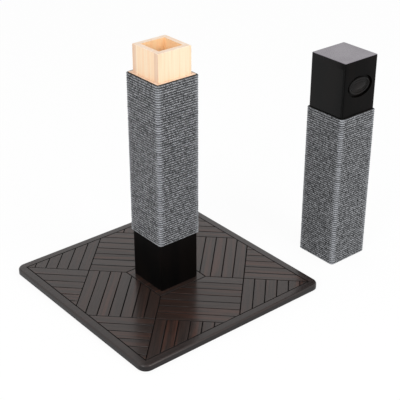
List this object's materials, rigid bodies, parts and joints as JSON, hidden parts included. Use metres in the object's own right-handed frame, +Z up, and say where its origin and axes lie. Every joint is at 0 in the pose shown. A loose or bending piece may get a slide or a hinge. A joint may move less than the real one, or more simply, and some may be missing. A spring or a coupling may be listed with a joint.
{
  "type": "cat scratching post",
  "caption": "Free-standing square scratching post wound with rope on a grooved square base, with a bare wooden connector and a separate capped upper section that plugs onto it.",
  "frame": {"origin": "on the floor under the middle of the base board, at the underside of the centre pad", "axes": "+Z up along the post, +X and +Y along the edges of the square base; the -X-Y corner of the base faces the viewer of the picture"},
  "size_m": [0.5627, 0.4, 0.458],
  "materials": {
    "dark_lacquered_board": "satin dark lacquer over wood",
    "black_lacquer": "satin black lacquer on the ends that show, bare wood elsewhere",
    "bare_wood": "sanded, unfinished",
    "grey_rope": "twisted rope, fibrous",
    "zinc_steel": "zinc plated",
    "brass": "machined",
    "black_rubber": "matte"
  },
  "bodies": {
    "base_section": {"base_board": "dark_lacquered_board", "base_pads": "black_rubber", "base_screws": "zinc_steel", "foot_inserts": "brass", "foot_block": "bare_wood", "lower_board_front": "black_lacquer", "lower_board_back": "black_lacquer", "lower_board_left": "black_lacquer", "lower_board_right": "black_lacquer", "connector_seat": "bare_wood", "connector_board_front": "bare_wood", "connector_board_back": "bare_wood", "connector_board_left": "bare_wood", "connector_board_right": "bare_wood", "lower_rope_turns": "grey_rope", "lower_rope": "grey_rope", "lower_rope_staples": "zinc_steel"},
    "upper_section": {"upper_board_front": "black_lacquer", "upper_board_back": "black_lacquer", "upper_board_left": "black_lacquer", "upper_board_right": "black_lacquer", "cap_top_plate": "black_lacquer", "cap_block": "bare_wood", "cap_screws": "zinc_steel", "cap_medallion": "black_lacquer", "upper_rope_turns": "grey_rope", "upper_rope": "grey_rope", "upper_rope_staples": "zinc_steel"}
  },
  "joints": [
    {"name": "upper_section_lift", "type": "slide", "parent": "base_section", "child": "upper_section", "axis": [0, 0, 1], "range_m": [0, 0.46]}
  ]
}
